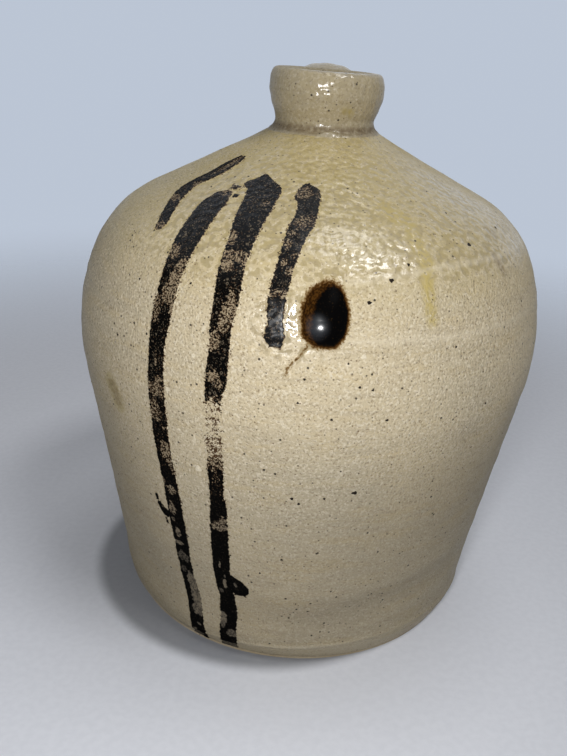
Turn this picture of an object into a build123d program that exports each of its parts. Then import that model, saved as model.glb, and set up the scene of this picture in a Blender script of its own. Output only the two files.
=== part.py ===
from build123d import *
import os
from math import acos, asin, atan2, cos, hypot, pi, radians, sin

# Stoneware crock jug, in millimetres. The axis is Z, the table is at Z = 0, the front faces -Y.

# Overall body
jug_height = 229.0              # table to rim
base_height = 8.5               # slab that closes the bottom; its edge is the slanted foot band
foot_radius = 77.0              # slab at the table
foot_top_radius = 80.5          # slab where the wall stands on it
belly_radius = 98.5             # widest part of the body
belly_curve = 90.0              # radius of the swelling around the widest line
belly_reach = 21.0              # degrees of that swelling above the widest line
shoulder_curve = 45.5           # radius of the turn from belly to crown
shoulder_rise = 81.5            # widest line up to the root of the collar
seam_rise = 22.5                # widest line up to the luted seam under the shoulder
wall_thickness = 7.5

# Collar and mouth
collar_height = 22.0            # root of the collar to the rim
collar_root_radius = 20.0
lip_radius = 23.0               # widest part of the rolled lip
lip_drop = 8.5                  # rim down to the widest part of the lip
rim_round = 3.5                 # outer edge of the rim
mouth_round = 2.0               # inner edge of the rim
throat_radius = 11.5            # lined throat, which takes a cork
lining_thickness = 0.4          # dark slip glaze poured through the inside

# Strap handle at the back
handle_crown_rise = 2.0         # top of the strap above the rim
handle_crown_reach = 38.0       # axis to the top of the strap
handle_bend = 22.0              # radius of the strap's centre line
handle_climb = 17.0             # degrees of rise where the strap leaves the collar
handle_fall = 85.0              # degrees of fall where it comes down on the shoulder
strap_width = 24.0
strap_thickness = 9.0
strap_foot_width = 29.0         # pressed out where it meets the shoulder
strap_foot_thickness = 11.0
strap_sections = 7

# Glassy kiln drip on the front of the shoulder
drip_bearing = 4.0              # degrees round from the front
drip_below_collar = 92.5        # along the surface, from the collar root to its widest part
drip_half_width = 7.0
drip_upper_length = 12.5        # widest part up to the tip
drip_lower_length = 8.5         # widest part down to the rounded end
drip_proud = 3.2                # above the clay

# Brushed slip strokes. Starts and ends are measured down the surface from the collar root, bearings in
# degrees round from the front, and the widths belong to the bearings, evenly spaced down the stroke.
slip_thickness = 0.45
slip_foot_gap = 3.0             # long strokes stop this far above the foot band
brush_tilt = 20.0               # degrees above level from which the strokes are laid on
SLIP_STROKES = {
    "slip_stroke_short_left": {
        "start": 20.0,
        "end": 70.0,
        "bearings": (-47.5, -48.4, -51.2, -51.0, -46.5, -43.6),
        "widths": (4.0, 6.7, 7.0, 7.3, 6.0, 3.0),
    },
    "slip_stroke_long_left": {
        "start": 38.0,
        "end": None,
        "bearings": (-32.0, -32.5, -31.9, -32.0, -32.0, -31.3, -30.3, -29.3, -27.7),
        "widths": (2.0, 10.0, 8.0, 7.0, 6.9, 7.1, 6.9, 6.3, 4.0),
    },
    "slip_stroke_long_right": {
        "start": 30.0,
        "end": 126.0,
        "bearings": (-23.0, -18.6, -17.7, -17.2, -17.4, -18.0),
        "widths": (5.0, 11.6, 9.0, 8.6, 7.2, 5.5),
    },
    "slip_stroke_low_right": {
        "start": 150.0,
        "end": None,
        "bearings": (-18.1, -18.0, -18.1, -17.2, -17.1),
        "widths": (4.0, 6.5, 6.9, 6.2, 4.0),
    },
    "slip_stroke_short_right": {
        "start": 33.0,
        "end": 103.0,
        "bearings": (-3.4, -2.1, -3.9, -5.4, -6.4, -6.0),
        "widths": (3.0, 7.0, 7.2, 5.8, 5.1, 3.0),
    },
}

# Derived heights and radii
collar_root = jug_height - collar_height
belly_height = collar_root - shoulder_rise
seam_height = belly_height + seam_rise
lip_height = jug_height - lip_drop
bore_radius = throat_radius + lining_thickness
lining_top = jug_height - mouth_round


def upright(*points):
    """Points of a half section, radius and height, as places in the XZ plane."""
    return [Vector(radius, 0, height) for radius, height in points]


def touch_angle(point, centre, radius, side):
    """Angle at which a line from the point touches the circle, on the given side."""
    across = point[0] - centre[0]
    up = point[1] - centre[1]
    return atan2(up, across) + side * acos(radius / hypot(across, up))


def on_circle(centre, radius, angle):
    return (centre[0] + radius * cos(angle), centre[1] + radius * sin(angle))


def arc_between(centre, radius, start, end):
    """Arc of a half section, from one angle to another."""
    angles = (start, (start + end) / 2, end)
    return ThreePointArc(*upright(*[on_circle(centre, radius, angle) for angle in angles]))


def outline(inset, top_radius, foot_height):
    """Half section of the body moved inwards by inset: crown, shoulder, belly and wall, from the top down."""
    belly_centre = (belly_radius - belly_curve, belly_height)
    reach = radians(belly_reach)
    shoulder_centre = on_circle(belly_centre, belly_curve - shoulder_curve, reach)
    wall_turn = touch_angle((foot_top_radius, base_height), belly_centre, belly_curve, 1)
    crown_turn = touch_angle((collar_root_radius, collar_root), shoulder_centre, shoulder_curve, -1)
    if wall_turn > pi / 2:
        wall_turn -= 2 * pi

    wall_top = on_circle(belly_centre, belly_curve - inset, wall_turn)
    crown_edge = on_circle(shoulder_centre, shoulder_curve - inset, crown_turn)
    wall_slope = -sin(wall_turn) / cos(wall_turn)
    crown_slope = cos(crown_turn) / sin(crown_turn)
    wall_foot = (wall_top[0] - (wall_top[1] - foot_height) * wall_slope, foot_height)
    crown_top = (top_radius, crown_edge[1] + (crown_edge[0] - top_radius) * crown_slope)
    return [
        Line(*upright(crown_top, crown_edge)),
        arc_between(shoulder_centre, shoulder_curve - inset, crown_turn, reach),
        arc_between(belly_centre, belly_curve - inset, reach, wall_turn),
        Line(*upright(wall_top, wall_foot)),
    ]


def turned(edges, *closing):
    """Solid turned about the axis from a chain of edges, closed by straight runs through the given points."""
    start = edges[0] @ 0
    corners = [edges[-1] @ 1] + upright(*closing) + [start]
    runs = [Line(a, b) for a, b in zip(corners, corners[1:])]
    return revolve(make_face(edges + runs), Axis.Z)


def body_envelope(proud=0.0):
    """The body filled solid from the foot band up, or a skin's thickness proud of it."""
    edges = outline(-proud, collar_root_radius, base_height)
    top = (edges[0] @ 0).Z
    return turned(edges, (0, base_height), (0, top))


def cavity(inset, neck_radius, floor, top):
    """Inside of the jug, from its floor up through the throat."""
    edges = outline(inset, neck_radius, floor)
    return turned(edges, (0, floor), (0, top), (neck_radius, top))


def foot_slab():
    edge = Line(*upright((foot_top_radius, base_height), (foot_radius, 0)))
    return turned([edge], (0, 0), (0, base_height))


def collar():
    """Rolled lip on a short neck: its side swells out from the root to the lip."""
    swell = lip_radius - collar_root_radius
    lift = lip_height - collar_root
    side_curve = (lift ** 2 + swell ** 2) / (2 * swell)
    side_centre = (lip_radius - side_curve, lip_height)
    rim_centre = (lip_radius - rim_round, jug_height - rim_round)
    mouth_centre = (bore_radius + mouth_round, jug_height - mouth_round)
    side = arc_between(side_centre, side_curve, -asin(lift / side_curve), 0)
    rim = arc_between(rim_centre, rim_round, 0, pi / 2)
    mouth = arc_between(mouth_centre, mouth_round, pi / 2, pi)
    edges = [side, Line(side @ 1, rim @ 0), rim, Line(rim @ 1, mouth @ 0), mouth]
    return turned(edges, (bore_radius, collar_root))


def filled_collar():
    return Pos(0, 0, collar_root) * Cylinder(
        collar_root_radius, collar_height, align=(Align.CENTER, Align.CENTER, Align.MIN)
    )


def strap_path():
    """Centre line of the strap in the YZ plane: out of the collar, over the bend, down into the shoulder."""
    crown = jug_height + handle_crown_rise - strap_thickness / 2
    bend_centre = Vector(0, handle_crown_reach, crown - handle_bend)
    climb = radians(handle_climb)
    fall = radians(handle_fall)

    def on_bend(heading):
        return bend_centre + Vector(0, -sin(heading), cos(heading)) * handle_bend

    leave = on_bend(climb)
    land = on_bend(-fall)
    bend = ThreePointArc(leave, on_bend((climb - fall) / 2), land)
    root = leave - Vector(0, cos(climb), sin(climb)) * ((leave.Y - bore_radius) / cos(climb))
    drop = land.Z - shoulder_surface(land.Y) + wall_thickness / 2
    sunk = land + Vector(0, cos(fall), -sin(fall)) * (drop / sin(fall))
    return Wire([Line(root, leave), bend, Line(land, sunk)])


def shoulder_surface(radius):
    """Height of the crown at a radius between the collar root and the shoulder's turn."""
    crown = outline(0, collar_root_radius, base_height)[0]
    top = crown @ 0
    edge = crown @ 1
    return top.Z + (edge.Z - top.Z) * (radius - top.X) / (edge.X - top.X)


def strap_handle():
    """Pulled strap, lens shaped across, that widens where it is pressed on to the shoulder."""
    path = strap_path()
    faces = []
    for step in range(strap_sections):
        along = step / (strap_sections - 1)
        # The flare starts half way along and grows slowly at first.
        flare = max(0.0, 2 * along - 1) ** 3
        width = strap_width + (strap_foot_width - strap_width) * flare
        thickness = strap_thickness + (strap_foot_thickness - strap_thickness) * flare
        section = Plane(origin=path @ along, x_dir=(1, 0, 0), z_dir=path % along)
        faces.append(section * Ellipse(width / 2, thickness / 2))
    return loft(faces) - body_envelope() - filled_collar() - collar()


def surface_point(bearing, below_collar):
    """Place on the outside of the body, at a distance down the surface from the collar root."""
    flat = SURFACE_LINE.position_at(below_collar, position_mode=PositionMode.LENGTH)
    turn = radians(bearing)
    return Vector(flat.X * sin(turn), -flat.X * cos(turn), flat.Z)


def level_at(bearing):
    """Level direction along the surface, square to the bearing."""
    return Vector(cos(radians(bearing)), sin(radians(bearing)), 0)


def slip_stroke(start, end, bearings, widths):
    """A brushed stroke: its outline is laid on from the front and cut out of a thin skin over the body."""
    if end is None:
        end = SURFACE_LINE.length - slip_foot_gap
    steps = len(bearings) - 1
    brush = Plane(
        origin=(0, 0, belly_height),
        x_dir=(1, 0, 0),
        z_dir=(0, -cos(radians(brush_tilt)), sin(radians(brush_tilt))),
    )
    left_side = []
    right_side = []
    for step, (bearing, width) in enumerate(zip(bearings, widths)):
        centre = surface_point(bearing, start + (end - start) * step / steps)
        half = level_at(bearing) * (width / 2)
        for places, place in ((left_side, centre - half), (right_side, centre + half)):
            local = brush.to_local_coords(place)
            places.append((local.X, local.Y))
    left = Spline(*left_side)
    right = Spline(*right_side)
    patch = make_face([left, right, Line(left @ 0, right @ 0), Line(left @ 1, right @ 1)])
    return extrude(brush * patch, 2 * belly_radius) & SLIP_SKIN


def glaze_drip():
    """Egg-shaped bead of glass that ran down the shoulder, seated on the clay."""
    seat = surface_point(drip_bearing, drip_below_collar)
    above = surface_point(drip_bearing, drip_below_collar - drip_upper_length)
    up = (above - seat).normalized()
    outward = level_at(drip_bearing).cross(up)
    centre = seat - outward * (drip_half_width - drip_proud)
    section = [(0, -drip_lower_length)]
    for angle in (-60, -30, 0, 30, 60):
        length = drip_upper_length if angle > 0 else drip_lower_length
        section.append((drip_half_width * cos(radians(angle)), length * sin(radians(angle))))
    section.append((0, drip_upper_length))
    half_egg = Spline(*upright(*section))
    egg = revolve(make_face([half_egg, Line(half_egg @ 1, half_egg @ 0)]), Axis.Z)
    return Plane(origin=centre, x_dir=-outward, z_dir=up) * egg - body_envelope()


SURFACE_LINE = Wire(outline(0, collar_root_radius, base_height))
SLIP_SKIN = body_envelope(slip_thickness) - body_envelope()

clay = body_envelope() - cavity(wall_thickness, bore_radius, base_height, collar_root)
seam = Plane.XY.offset(seam_height)
lining_floor = base_height + lining_thickness
clear_inside = cavity(wall_thickness + lining_thickness, throat_radius, lining_floor, lining_top)

nodes = {
    "base_slab": foot_slab(),
    "body_wall": split(clay, seam, keep=Keep.BOTTOM),
    "shoulder_dome": split(clay, seam, keep=Keep.TOP),
    "neck_collar": collar(),
    "strap_handle": strap_handle(),
    "inner_glaze_lining": cavity(wall_thickness, bore_radius, base_height, lining_top) - clear_inside,
    "glaze_drip": glaze_drip(),
}
for stroke_name, stroke in SLIP_STROKES.items():
    nodes[stroke_name] = slip_stroke(**stroke)

os.makedirs("parts", exist_ok=True)
for name, solid in nodes.items():
    export_step(solid, f"parts/{name}.step")
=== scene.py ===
from collections import namedtuple
from math import acos, atan2, cos, hypot, pi, radians, sin, tan

import bpy
import numpy as np
from mathutils import Matrix, Vector


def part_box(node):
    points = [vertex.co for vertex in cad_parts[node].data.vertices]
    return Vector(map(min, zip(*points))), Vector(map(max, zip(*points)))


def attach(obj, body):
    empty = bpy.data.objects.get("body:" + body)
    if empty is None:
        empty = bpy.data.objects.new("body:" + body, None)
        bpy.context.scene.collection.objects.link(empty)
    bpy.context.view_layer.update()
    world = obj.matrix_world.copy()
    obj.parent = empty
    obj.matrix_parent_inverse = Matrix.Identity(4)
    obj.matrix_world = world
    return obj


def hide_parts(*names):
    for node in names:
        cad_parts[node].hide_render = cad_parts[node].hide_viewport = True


# Stoneware crock jug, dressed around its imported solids. Sizes are millimetres until a mesh is made.
# The axis is Z, the front faces -Y, and a bearing is degrees round from the front, growing towards +X.
# A walk is the distance down the outside of the body from the root of the collar.
MM = 0.001

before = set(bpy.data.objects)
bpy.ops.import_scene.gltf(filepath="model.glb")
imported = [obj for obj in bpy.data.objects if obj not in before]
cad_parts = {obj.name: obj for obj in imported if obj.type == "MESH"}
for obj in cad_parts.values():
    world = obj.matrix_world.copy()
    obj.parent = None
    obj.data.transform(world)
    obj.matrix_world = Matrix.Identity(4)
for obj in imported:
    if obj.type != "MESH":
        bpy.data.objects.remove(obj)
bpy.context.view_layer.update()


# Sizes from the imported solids

def node_box(node):
    """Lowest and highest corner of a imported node."""
    return [np.array(corner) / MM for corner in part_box(node)]


slab_high = node_box("base_slab")[1]
wall_high = node_box("body_wall")[1]
neck_low, neck_high = node_box("neck_collar")
strap_high = node_box("strap_handle")[1]
lining_high = node_box("inner_glaze_lining")[1]

base_height = slab_high[2]
foot_top_radius = slab_high[0]
belly_radius = wall_high[0]
seam_height = wall_high[2]
collar_root = neck_low[2]
jug_height = neck_high[2]
lip_radius = neck_high[0]
wall_thickness = belly_radius - lining_high[0]
lining_top = lining_high[2]
strap_top = strap_high[2]

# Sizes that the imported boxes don't show
foot_radius = 77.0
belly_curve = 90.0
belly_reach = radians(21.0)
belly_height = collar_root - 81.5
shoulder_curve = 45.5
collar_root_radius = 20.0
bore_radius = 11.9
lining_thickness = 0.4
strap_width = 24.0
strap_thickness = 9.0
strap_bend = 22.0
strap_reach = 38.0
strap_climb = radians(17.0)
strap_fall = radians(85.0)
drip_bearing = 4.0
drip_walk = 92.5
drip_half_width = 7.0
drip_upper_length = 12.5
drip_lower_length = 8.5
drip_proud = 3.2

# How finely the meshes are cut
OUTLINE_STEP = 0.25
BODY_STEPS = 600
BODY_ROW = 1.2
FOOT_ROW = 0.5
FOOT_ZONE = 7.0                 # how far above the foot band the rows are this close
INSIDE_ROW = 6.0
UNDER_ROW = 0.8
LINING_ROW = 2.6
COLLAR_ROW = 0.6
STRAP_ROW = 0.8
SLIP_GRID = 0.34
ARC_POINTS = 60
NECK_STEPS = 256
LINING_STEPS = 300
STRAP_STEPS = 96
DRIP_STEPS = 120
SPOT_STEPS = 10
POLE_RADIUS = 0.4               # radius of the small face that closes a turned skin at the axis
HAIR = 0.01                     # points of an outline keep this far from a cut through it
SHARP_EDGE = radians(48)


# Outline of the body

def touch_angle(point, centre, radius, side):
    """Angle at which a line from the point touches the circle, on the given side."""
    across = point[0] - centre[0]
    up = point[1] - centre[1]
    return atan2(up, across) + side * acos(radius / hypot(across, up))


def arc(centre, radius, start, end):
    """Points of a circle, from one angle to another."""
    angles = np.linspace(start, end, ARC_POINTS)
    return np.stack([centre[0] + radius * np.cos(angles), centre[1] + radius * np.sin(angles)], -1)


def body_outline(inset, top_radius, foot_height):
    """Radius and height down the body, moved inwards by inset: crown, shoulder, belly and wall."""
    belly_centre = np.array([belly_radius - belly_curve, belly_height])
    reach = np.array([cos(belly_reach), sin(belly_reach)])
    shoulder_centre = belly_centre + (belly_curve - shoulder_curve) * reach
    wall_turn = touch_angle((foot_top_radius, base_height), belly_centre, belly_curve, 1)
    crown_turn = touch_angle((collar_root_radius, collar_root), shoulder_centre, shoulder_curve, -1)
    if wall_turn > pi / 2:
        wall_turn -= 2 * pi
    shoulder = arc(shoulder_centre, shoulder_curve - inset, crown_turn, belly_reach)
    belly = arc(belly_centre, belly_curve - inset, belly_reach, wall_turn)
    crown_rise = (shoulder[0][0] - top_radius) / tan(crown_turn)
    wall_draw = (belly[-1][1] - foot_height) * tan(wall_turn)
    crown_top = (top_radius, shoulder[0][1] + crown_rise)
    wall_foot = (belly[-1][0] + wall_draw, foot_height)
    return np.concatenate([[crown_top], shoulder, belly[1:], [wall_foot]])


def walked(points):
    """Distance along a chain of points."""
    return np.concatenate([[0], np.cumsum(np.hypot(*np.diff(points, axis=0).T))])


def evenly(points, step):
    """The same chain with points about a step apart."""
    along = walked(points)
    places = np.linspace(0, along[-1], int(along[-1] / step) + 2)
    return np.stack([np.interp(places, along, column) for column in points.T], -1)


wall_line = body_outline(0, collar_root_radius, base_height)
OUTLINE = evenly(np.vstack([wall_line, [foot_radius, 0]]), OUTLINE_STEP)
WALK = walked(OUTLINE)
SLOPE = np.gradient(OUTLINE, WALK, axis=0)
SEAM_WALK = np.interp(-seam_height, -OUTLINE[:, 1], WALK)
FOOT_WALK = np.interp(-base_height, -OUTLINE[:, 1], WALK)
CROWN = OUTLINE[WALK < SEAM_WALK]


def radius_at(walk):
    """Radius of the outline at a walk."""
    return np.interp(walk, WALK, OUTLINE[:, 0])


def height_at(walk):
    """Height of the outline at a walk."""
    return np.interp(walk, WALK, OUTLINE[:, 1])


def crown_height(radius):
    """Height of the crown at a distance from the axis."""
    return np.interp(radius, CROWN[:, 0], CROWN[:, 1])


# The hand of the potter: small departures from the turned form

def swell(value, centre, half_width):
    """1 at the centre, falling smoothly to 0 at half_width from it."""
    return (1 - np.clip(np.abs(value - centre) / half_width, 0, 1) ** 2) ** 2


def smooth(value, low, high):
    """Runs smoothly from 0 at low to 1 at high. Where low is the larger number, it falls as values grow."""
    part = np.clip((value - low) / (high - low), 0, 1)
    return part * part * (3 - 2 * part)


def away_from(bearing, centre):
    """Degrees round from the centre, between -180 and 180."""
    return (bearing - centre + 180) % 360 - 180


# Throwing rings, which climb by one spacing in each round: spacing up the wall, depth, start
RINGS = ((17.9, 0.06, 0.7), (11.3, 0.045, 0.1), (6.7, 0.025, 0.4))
# Unevenness: waves round the jug, spacing up the wall, depth, start
LUMPS = ((2, 190.0, 0.16, 0.6), (3, 120.0, 0.1, 2.1), (5, 70.0, 0.07, 4.0), (9, 38.0, 0.04, 1.3))
TALLEST = sum(depth for _, depth, _ in RINGS) + sum(depth for _, _, depth, _ in LUMPS)
# How far single features stand out or in, and where they are
FOOT_ROLL = 0.5
FOOT_EDGE = 0.9
SEAM_STEP = 0.12
HOLLOW_DEPTH = 1.2
HOLLOW_HEIGHT = 27.5
HOLLOW_HALF = 11.5
FOOT_LINE = 0.4
FOOT_LINE_HEIGHT = 8.9
FOOT_LINE_CLIMB = 3.6
RIB_LINE = 0.16
RIB_LINE_HEIGHT = 168.6
# How the jug settled while it was soft
LEAN = 1.7
LEAN_START = 120.0
LIP_TIP = radians(1.7)
MARK_SHIFT = 0.15               # the marks were read this far to the right of their places
# Waves of a ragged outline: heading, share of the size, start
RIPPLES = ((0.3, 1.0, 0.2), (1.5, 0.73, 1.9), (2.6, 0.57, 4.1), (4.0, 0.41, 3.0), (5.3, 0.31, 0.9))


def ripple(x, y, size):
    """Uneven waves, mostly between -1 and 1, for ragged outlines."""
    total = 0
    for heading, stretch, start in RIPPLES:
        total = total + np.sin(2 * pi * (x * cos(heading) + y * sin(heading)) / (size * stretch) + start)
    return total / 3


def foot_hollow(bearing, height):
    """Share of the hollow that the fingers left above the foot. It is deepest and climbs on the right."""
    middle = HOLLOW_HEIGHT + 0.25 * np.clip(away_from(bearing, 15), 0, 40)
    return swell(height, middle, HOLLOW_HALF) * (0.12 + 0.88 * swell(away_from(bearing, 20), 0, 52))


def above_foot_line(bearing, height):
    """Height above the narrow line round the foot, which climbs to the right of the front."""
    return height - FOOT_LINE_HEIGHT - FOOT_LINE_CLIMB * np.sin(2 * np.radians(bearing))


def slanted_line(bearing, height, half_width):
    """Share of the thin line that a rib left on the right of the shoulder. It climbs to the right."""
    climb = 0.15 * np.clip(away_from(bearing, 17), -20, 15)
    on_right = smooth(np.abs(away_from(bearing, 36)), 40, 24)
    return swell(height - climb, RIB_LINE_HEIGHT, half_width) * on_right


def relief(bearing, walk):
    """How far the surface stands out from the turned outline."""
    height = height_at(walk)
    turn = np.radians(bearing)
    rise = np.full(np.broadcast(bearing, walk).shape, -TALLEST)
    for spacing, depth, start in RINGS:
        rise = rise + depth * np.sin(2 * pi * (height / spacing + start) + turn)
    for waves, spacing, depth, start in LUMPS:
        rise = rise + depth * np.sin(waves * turn + start) * np.sin(2 * pi * height / spacing + 2 * start)
    # A soft roll at the foot and the hollow above it, then the narrow foot line and the rounded lower edge
    rise = rise + FOOT_ROLL * swell(height, 12, 13) - HOLLOW_DEPTH * foot_hollow(bearing, height)
    rise = rise + FOOT_LINE * swell(above_foot_line(bearing, height), 0, 1.7)
    rise = rise - FOOT_EDGE * swell(height, -0.6, 2.4)
    # The luted seam, and the rib's line above it
    rise = rise + SEAM_STEP * swell(height, seam_height + 1.5, 1.8)
    rise = rise - SEAM_STEP * swell(height, seam_height - 1.4, 1.8)
    rise = rise + RIB_LINE * slanted_line(bearing, height, 1.5)
    return rise * smooth(walk, 1, 14)


def lean(height):
    """How far the jug leans to the right at a height."""
    return LEAN * smooth(height, LEAN_START, jug_height)


def upright(bearing, walk):
    """Bearing on the upright form of a mark that is seen at a bearing on the leaning jug."""
    height = height_at(walk)
    shift = MARK_SHIFT + lean(height) * np.cos(np.radians(bearing))
    return bearing - np.degrees(shift / radius_at(walk))


def settled(points):
    """Points moved as the jug settled while it was soft: a lean to the right and a tipped lip."""
    points = np.array(points, float)
    height = points[..., 2].copy()
    tip = tan(LIP_TIP) * smooth(height, collar_root, jug_height - 4)
    points[..., 2] -= points[..., 0] * tip
    points[..., 0] += lean(height)
    return points


def skin(bearing, walk, lift=0.0):
    """Places on the outside of the body, or lifted off it."""
    turn = np.radians(bearing)
    rise = relief(bearing, walk) + lift
    radius = radius_at(walk) - rise * np.interp(walk, WALK, SLOPE[:, 1])
    height = height_at(walk) + rise * np.interp(walk, WALK, SLOPE[:, 0])
    return settled(np.stack([radius * np.sin(turn), -radius * np.cos(turn), height], -1))


# Meshes from grids of points

# One closed skin: points, faces, a flat map of its corners, and marks that belong to the points
Shell = namedtuple("Shell", "points faces flat marks")


def grid_faces(rows, columns, closed):
    """Corner numbers of a grid's quads, and where these corners lie in the grid."""
    quads = columns if closed else columns - 1
    row, column = np.meshgrid(np.arange(rows - 1), np.arange(quads), indexing="ij")
    corners = np.stack([(row, column), (row + 1, column), (row + 1, column + 1), (row, column + 1)], -1)
    corners = corners.reshape(2, -1, 4)
    numbers = corners[0] * columns + corners[1] % columns
    return numbers, corners


def ring_shell(rings, marks, wraps):
    """Closed skin from rings of points. The last ring meets the first, or a small face closes each end."""
    rows, steps = rings.shape[:2]
    # The flat map has the steps of a ring across it, and the length from ring to ring down it
    along = walked(rings[:, 0, [1, 2]] if wraps else rings[:, 0, [0, 2]] + rings[:, 0, [1, 1]])
    if wraps:
        numbers, corners = grid_faces(rows + 1, steps, True)
        numbers %= rows * steps
        along = np.append(along, along[-1] * 1.02)
    else:
        numbers, corners = grid_faces(rows, steps, True)
    faces = numbers.tolist()
    flat = np.stack([corners[1] / steps, 1 - along[corners[0]] / along[-1]], -1).reshape(-1, 2)
    if not wraps:
        first = np.arange(steps)
        last = (rows - 1) * steps + first[::-1]
        ends = np.stack([np.linspace(0, 1, steps), np.ones(steps)], -1)
        faces += [first.tolist(), last.tolist()]
        flat = np.vstack([flat, ends, ends * (1, 0)])
    return Shell(rings.reshape(-1, 3), faces, flat, {name: mark.ravel() for name, mark in marks.items()})


def pillow_shell(top, bottom, marks):
    """Closed skin from a grid of points and the same grid sunk below it."""
    rows, columns = top.shape[:2]
    count = rows * columns
    upper, corners = grid_faces(rows, columns, False)
    place = np.stack([corners[1] / (columns - 1), corners[0] / (rows - 1)], -1).reshape(-1, 2)
    lower = upper[:, ::-1] + count
    grid = np.arange(count).reshape(rows, columns)
    border = np.concatenate([grid[0], grid[1:, -1], grid[-1, -2::-1], grid[-2:0:-1, 0]])
    ahead = np.roll(border, -1)
    sides = np.stack([border, ahead, ahead + count, border + count], -1)
    # The flat map has the top on the left, the bottom beside it and the sides along the right edge
    hem = np.tile([[0.985, 0.0], [0.985, 1.0], [1.0, 1.0], [1.0, 0.0]], (len(sides), 1))
    flat = np.vstack([place * (0.7, 1), place[::-1] * (0.25, 1) + (0.72, 0), hem])
    both = {name: np.tile(mark.ravel(), 2) for name, mark in marks.items()}
    points = np.vstack([top.reshape(-1, 3), bottom.reshape(-1, 3)])
    return Shell(points, upper.tolist() + lower.tolist() + sides.tolist(), flat, both)


def add_object(name, data):
    """New object in the scene."""
    thing = bpy.data.objects.new(name, data)
    bpy.context.scene.collection.objects.link(thing)
    return thing


def make_piece(name, shells, material, node):
    """One object from its shells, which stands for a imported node."""
    points = np.vstack([shell.points for shell in shells])
    starts = np.cumsum([0] + [len(shell.points) for shell in shells])
    faces = []
    for start, shell in zip(starts, shells):
        faces += [[start + corner for corner in face] for face in shell.faces]
    mesh = bpy.data.meshes.new(name)
    mesh.from_pydata((points * MM).tolist(), [], faces)
    flat = mesh.uv_layers.new(name="OFBake")
    flat.uv.foreach_set("vector", np.vstack([shell.flat for shell in shells]).astype(np.float32).ravel())
    for mark in sorted({mark for shell in shells for mark in shell.marks}):
        parts = [shell.marks.get(mark, np.zeros(len(shell.points))) for shell in shells]
        layer = mesh.attributes.new(mark, "FLOAT", "POINT")
        layer.data.foreach_set("value", np.concatenate(parts).astype(np.float32))
    mesh.shade_smooth()
    mesh.set_sharp_from_angle(angle=SHARP_EDGE)
    mesh.materials.append(material)
    piece = add_object(name, mesh)
    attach(piece, "root")
    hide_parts(node)


# Shader helpers

class Nodes:
    """Adds nodes to one tree. Each call returns the socket that carries its result."""

    def __init__(self, tree):
        self.tree = tree

    def node(self, kind, inputs, output=0, **settings):
        """New node of a kind, with its inputs and settings."""
        node = self.tree.nodes.new(kind)
        for name, value in settings.items():
            setattr(node, name, value)
        for key, value in inputs.items():
            self.feed(node.inputs[key], value)
        return node.outputs[output]

    def feed(self, socket, value):
        """Links a socket to another, or gives it a value."""
        if isinstance(value, bpy.types.NodeSocket):
            self.tree.links.new(value, socket)
        else:
            socket.default_value = value

    def math(self, operation, first, second):
        """Result of an operation on two values."""
        return self.node("ShaderNodeMath", {0: first, 1: second}, operation=operation)


class Shader(Nodes):
    """The nodes of one material."""

    def __init__(self, name):
        self.material = bpy.data.materials.new(name)
        self.material.use_nodes = True
        super().__init__(self.material.node_tree)
        self.surface = self.tree.nodes["Principled BSDF"]
        place = self.node("ShaderNodeTexCoord", {}, "Object")
        self.place = self.node("ShaderNodeVectorMath", {0: place, "Scale": 1 / MM}, operation="SCALE")

    def set(self, **inputs):
        """Sets or links inputs of the surface, named with underscores."""
        for name, value in inputs.items():
            self.feed(self.surface.inputs[name.replace("_", " ")], value)

    def times(self, first, second):
        return self.math("MULTIPLY", first, second)

    def plus(self, first, second):
        return self.math("ADD", first, second)

    def mark(self, name):
        """The mark that the points of a mesh carry under a name."""
        return self.node("ShaderNodeAttribute", {}, "Fac", attribute_name=name)

    def ramp(self, value, low, high, start=0.0, end=1.0):
        """Runs smoothly from start to end as the value goes from low to high."""
        inputs = {"Value": value, "From Min": low, "From Max": high, "To Min": start, "To Max": end}
        return self.node("ShaderNodeMapRange", inputs, interpolation_type="SMOOTHSTEP")

    def mix(self, share, first, second):
        """The first colour, with a share of the second one over it."""
        colours = [(*c, 1.0) if isinstance(c, tuple) else c for c in (first, second)]
        return self.node("ShaderNodeMix", {0: share, 6: colours[0], 7: colours[1]}, 2, data_type="RGBA")

    def shade(self, colour, share):
        """The colour darkened to a share of itself."""
        return self.node("ShaderNodeVectorMath", {0: colour, "Scale": share}, operation="SCALE")

    def noise(self, size, detail=2.0, stretch=(1, 1, 1)):
        """Cloudy pattern with features of a size in millimetres."""
        place = self.node("ShaderNodeVectorMath", {0: self.place, 1: stretch}, operation="DIVIDE")
        return self.node("ShaderNodeTexNoise", {"Vector": place, "Scale": 1 / size, "Detail": detail})

    def cells(self, size):
        """Distance from the nearest of scattered points, as a share of their spacing in millimetres."""
        return self.node("ShaderNodeTexVoronoi", {"Vector": self.place, "Scale": 1 / size})

    def specks(self, spacing, radius):
        """Round specks, of up to the given radius, among points scattered through the clay."""
        return self.ramp(self.cells(spacing), 0.55 * radius / spacing, radius / spacing, 1.0, 0.0)

    def bump(self, height, depth):
        """Normal of a surface that the height raises by up to the depth in millimetres."""
        return self.node("ShaderNodeBump", {"Height": height, "Distance": depth * MM, "Strength": 1.0})


# Materials

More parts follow.
